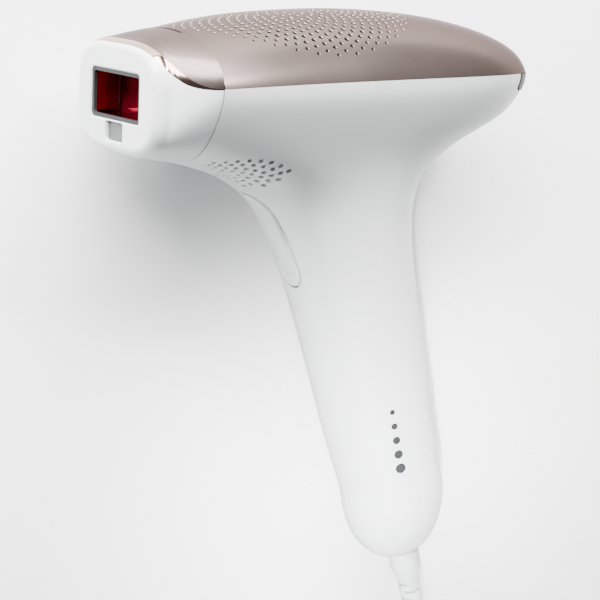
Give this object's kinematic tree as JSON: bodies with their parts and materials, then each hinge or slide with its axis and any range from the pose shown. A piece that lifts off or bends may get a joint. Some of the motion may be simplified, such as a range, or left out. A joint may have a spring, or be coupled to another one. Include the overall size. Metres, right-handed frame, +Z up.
{
  "type": "ipl hair remover",
  "caption": "Pistol-shaped light-pulse hair remover with pull-off treatment head, flash button, power button, cooling fan and a detachable lead with wall adapter.",
  "frame": {"origin": "middle of the floor area under the device as it lies on its side, without its lead", "axes": "+Y along the handle towards the light head's perforated cover, +X from the skin face to the tail, +Z up from the floor"},
  "size_m": [0.1502, 0.308, 0.0736],
  "materials": {
    "white_shell": "satin gloss moulded plastic",
    "taupe_cover": "metallic rose-taupe lacquer with perforations",
    "rose_trim": "polished rose metal",
    "smoked_lens": "smoked clear plastic",
    "black_frame": "dark gloss moulding",
    "mirror": "polished",
    "sensor_grey": "satin",
    "board_green": "solder mask",
    "inner_plastic": "plain moulded",
    "red_filter": "polished red filter glass",
    "lamp_glass": "clear quartz",
    "nickel": "nickel plated",
    "ceramic": "unglazed ceramic",
    "heatsink_aluminium": "extruded",
    "fan_black": "plain moulded",
    "screw_steel": "zinc plated",
    "chip_black": "plain moulded",
    "diode_white": "clear",
    "key_white": "satin gloss moulded plastic",
    "core_iron": "laminated core with taped winding",
    "capacitor_sleeve": "shrink sleeve",
    "wire_red": "silicone insulation",
    "lead_white": "matt soft plastic",
    "tie_grey": "hook and loop strap",
    "adapter_white": "fine satin grain"
  },
  "bodies": {
    "device": {"housing_left": "white_shell", "housing_right": "white_shell", "lead_plug": "white_shell", "top_cover": "taupe_cover", "display_lens": "smoked_lens", "reflector": "mirror", "control_board": "board_green", "power_board": "board_green", "adapter_board": "board_green", "front_bulkhead": "inner_plastic", "nose_frame": "inner_plastic", "optics_housing": "inner_plastic", "chassis_tray": "inner_plastic", "button_bracket": "inner_plastic", "filter_glass": "red_filter", "flash_lamp": "lamp_glass", "lamp_electrodes": "nickel", "button_pin": "nickel", "adapter_pins": "nickel", "dc_socket": "nickel", "lamp_holders": "ceramic", "heatsink": "heatsink_aluminium", "fan_housing": "fan_black", "fan_motor": "fan_black", "chassis_screws": "screw_steel", "capacitor_clamp": "screw_steel", "board_chips": "chip_black", "power_parts": "chip_black", "micro_switch": "chip_black", "power_switch": "chip_black", "trigger_coil": "chip_black", "level_lights": "diode_white", "transformer": "core_iron", "main_capacitor": "capacitor_sleeve", "lamp_wire_left": "wire_red", "lamp_wire_right": "wire_red", "strain_relief": "lead_white", "cord": "lead_white", "cord_end": "lead_white", "cord_coil": "lead_white", "adapter_relief": "lead_white", "coil_tie": "tie_grey", "adapter_front": "adapter_white", "adapter_back": "adapter_white"},
    "treatment_head": {"head_shell": "white_shell", "head_top": "taupe_cover", "head_ribbon": "rose_trim", "window_frame": "black_frame", "mirror_tunnel": "mirror", "sensor_window": "sensor_grey", "sensor_board": "board_green", "head_clips": "inner_plastic"},
    "trigger": {"flash_button": "key_white", "button_spring": "screw_steel"},
    "power_key": {"power_button": "key_white"},
    "fan_rotor": {"fan_impeller": "fan_black"}
  },
  "joints": [
    {"name": "head_pull", "type": "slide", "parent": "device", "child": "treatment_head", "axis": [-0.9981, 0, 0.061], "range_m": [0, 0.03]},
    {"name": "flash_press", "type": "hinge", "parent": "device", "child": "trigger", "pos_m": [-0.01532, 0.03034, 0.03239], "axis": [0.0605, -0.134, 0.9891], "range_deg": [0, 2.5], "stiffness_Nm_per_rad": 0.5, "springref_deg": -4.58},
    {"name": "power_press", "type": "slide", "parent": "device", "child": "power_key", "axis": [-0.6743, 0.7251, 0.1395], "range_m": [0, 0.0008], "stiffness_N_per_m": 800, "springref_m": -0.001},
    {"name": "fan_spin", "type": "hinge", "parent": "device", "child": "fan_rotor", "pos_m": [0.00117, 0.06919, 0.03664], "axis": [0.0082, 0.991, 0.1337], "continuous": true}
  ]
}
